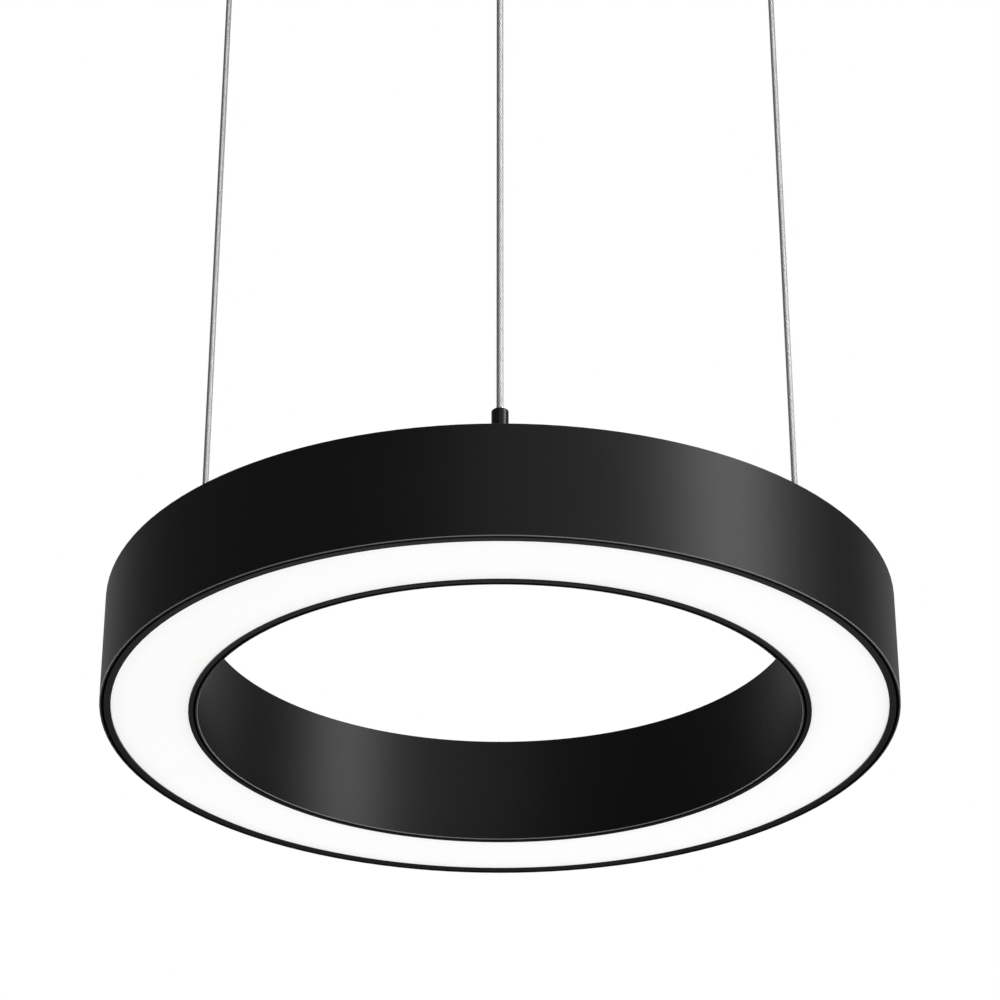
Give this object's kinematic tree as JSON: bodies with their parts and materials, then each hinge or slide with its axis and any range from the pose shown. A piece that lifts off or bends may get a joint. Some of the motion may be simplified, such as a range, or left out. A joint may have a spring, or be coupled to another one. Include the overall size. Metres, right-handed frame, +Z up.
{
  "type": "ring pendant light",
  "caption": "Black ring channel with a lit opal underside, hung level from the ceiling on steel ropes with push-release grips and sliding ceiling cups.",
  "frame": {"origin": "on the ring's axis, in the plane of the ceiling", "axes": "+Z up towards the ceiling, -Y towards the rope that is nearest in the picture"},
  "size_m": [0.6, 0.608, 0.85],
  "materials": {
    "black_powder_coat": "matt black powder coat on rolled aluminium",
    "black_anodised": "satin black anodised",
    "opal_acrylic": "opal, lit from behind",
    "mill_aluminium": "mill finish",
    "board_lacquer": "white solder lacquer",
    "led_phosphor": "clear silicone over phosphor",
    "zinc_steel": "bright zinc plate",
    "rope_steel": "bare stranded steel",
    "bright_steel": "turned and polished",
    "terminal_plastic": "moulded",
    "lead_insulation": "smooth insulation",
    "black_rubber": "moulded rubber"
  },
  "bodies": {
    "suspension": {"rope_front": "rope_steel", "rope_right": "rope_steel", "rope_left": "rope_steel", "rope_stops": "zinc_steel", "rope_heads": "zinc_steel", "ceiling_base_front": "zinc_steel", "ceiling_base_right": "zinc_steel", "ceiling_base_left": "zinc_steel"},
    "ring": {"outer_band": "black_powder_coat", "inner_band": "black_powder_coat", "top_plate": "black_powder_coat", "outer_lip_screws": "zinc_steel", "inner_lip_screws": "zinc_steel", "outer_bezel": "black_powder_coat", "inner_bezel": "black_powder_coat", "diffuser": "opal_acrylic", "bezel_screws": "zinc_steel", "led_carrier": "mill_aluminium", "standoffs": "mill_aluminium", "standoff_screws_upper": "zinc_steel", "standoff_screws_lower": "zinc_steel", "led_board_1": "board_lacquer", "led_board_2": "board_lacquer", "led_board_3": "board_lacquer", "led_board_4": "board_lacquer", "led_board_5": "board_lacquer", "led_board_6": "board_lacquer", "leds": "led_phosphor", "driver_case": "mill_aluminium", "driver_lid": "mill_aluminium", "driver_screws": "zinc_steel", "terminal_block": "terminal_plastic", "supply_leads": "lead_insulation", "led_lead": "lead_insulation", "inlet_grommet": "black_rubber", "grip_body_front": "black_anodised", "grip_body_right": "black_anodised", "grip_body_left": "black_anodised", "grip_stud_front": "zinc_steel", "grip_stud_right": "zinc_steel", "grip_stud_left": "zinc_steel", "grip_spring_front": "bright_steel", "grip_spring_right": "bright_steel", "grip_spring_left": "bright_steel", "grip_nuts": "zinc_steel"},
    "release_front": {"grip_sleeve_front": "bright_steel", "grip_balls_front": "bright_steel"},
    "cup_front": {"ceiling_cup_front": "black_powder_coat", "cup_bush_front": "black_rubber"},
    "release_right": {"grip_sleeve_right": "bright_steel", "grip_balls_right": "bright_steel"},
    "cup_right": {"ceiling_cup_right": "black_powder_coat", "cup_bush_right": "black_rubber"},
    "release_left": {"grip_sleeve_left": "bright_steel", "grip_balls_left": "bright_steel"},
    "cup_left": {"ceiling_cup_left": "black_powder_coat", "cup_bush_left": "black_rubber"}
  },
  "joints": [
    {"name": "ring_height", "type": "slide", "parent": "suspension", "child": "ring", "axis": [0, 0, 1], "range_m": [0, 0.03]},
    {"name": "grip_release_front", "type": "slide", "parent": "ring", "child": "release_front", "axis": [0, 0, -1], "range_m": [0, 0.0014], "stiffness_N_per_m": 3000, "springref_m": -0.002, "deforming": ["grip_spring_front"]},
    {"name": "cup_slide_front", "type": "slide", "parent": "suspension", "child": "cup_front", "axis": [0, 0, -1], "range_m": [0, 0.08]},
    {"name": "grip_release_right", "type": "slide", "parent": "ring", "child": "release_right", "axis": [0, 0, -1], "range_m": [0, 0.0014], "stiffness_N_per_m": 3000, "springref_m": -0.002, "deforming": ["grip_spring_right"]},
    {"name": "cup_slide_right", "type": "slide", "parent": "suspension", "child": "cup_right", "axis": [0, 0, -1], "range_m": [0, 0.08]},
    {"name": "grip_release_left", "type": "slide", "parent": "ring", "child": "release_left", "axis": [0, 0, -1], "range_m": [0, 0.0014], "stiffness_N_per_m": 3000, "springref_m": -0.002, "deforming": ["grip_spring_left"]},
    {"name": "cup_slide_left", "type": "slide", "parent": "suspension", "child": "cup_left", "axis": [0, 0, -1], "range_m": [0, 0.08]}
  ]
}
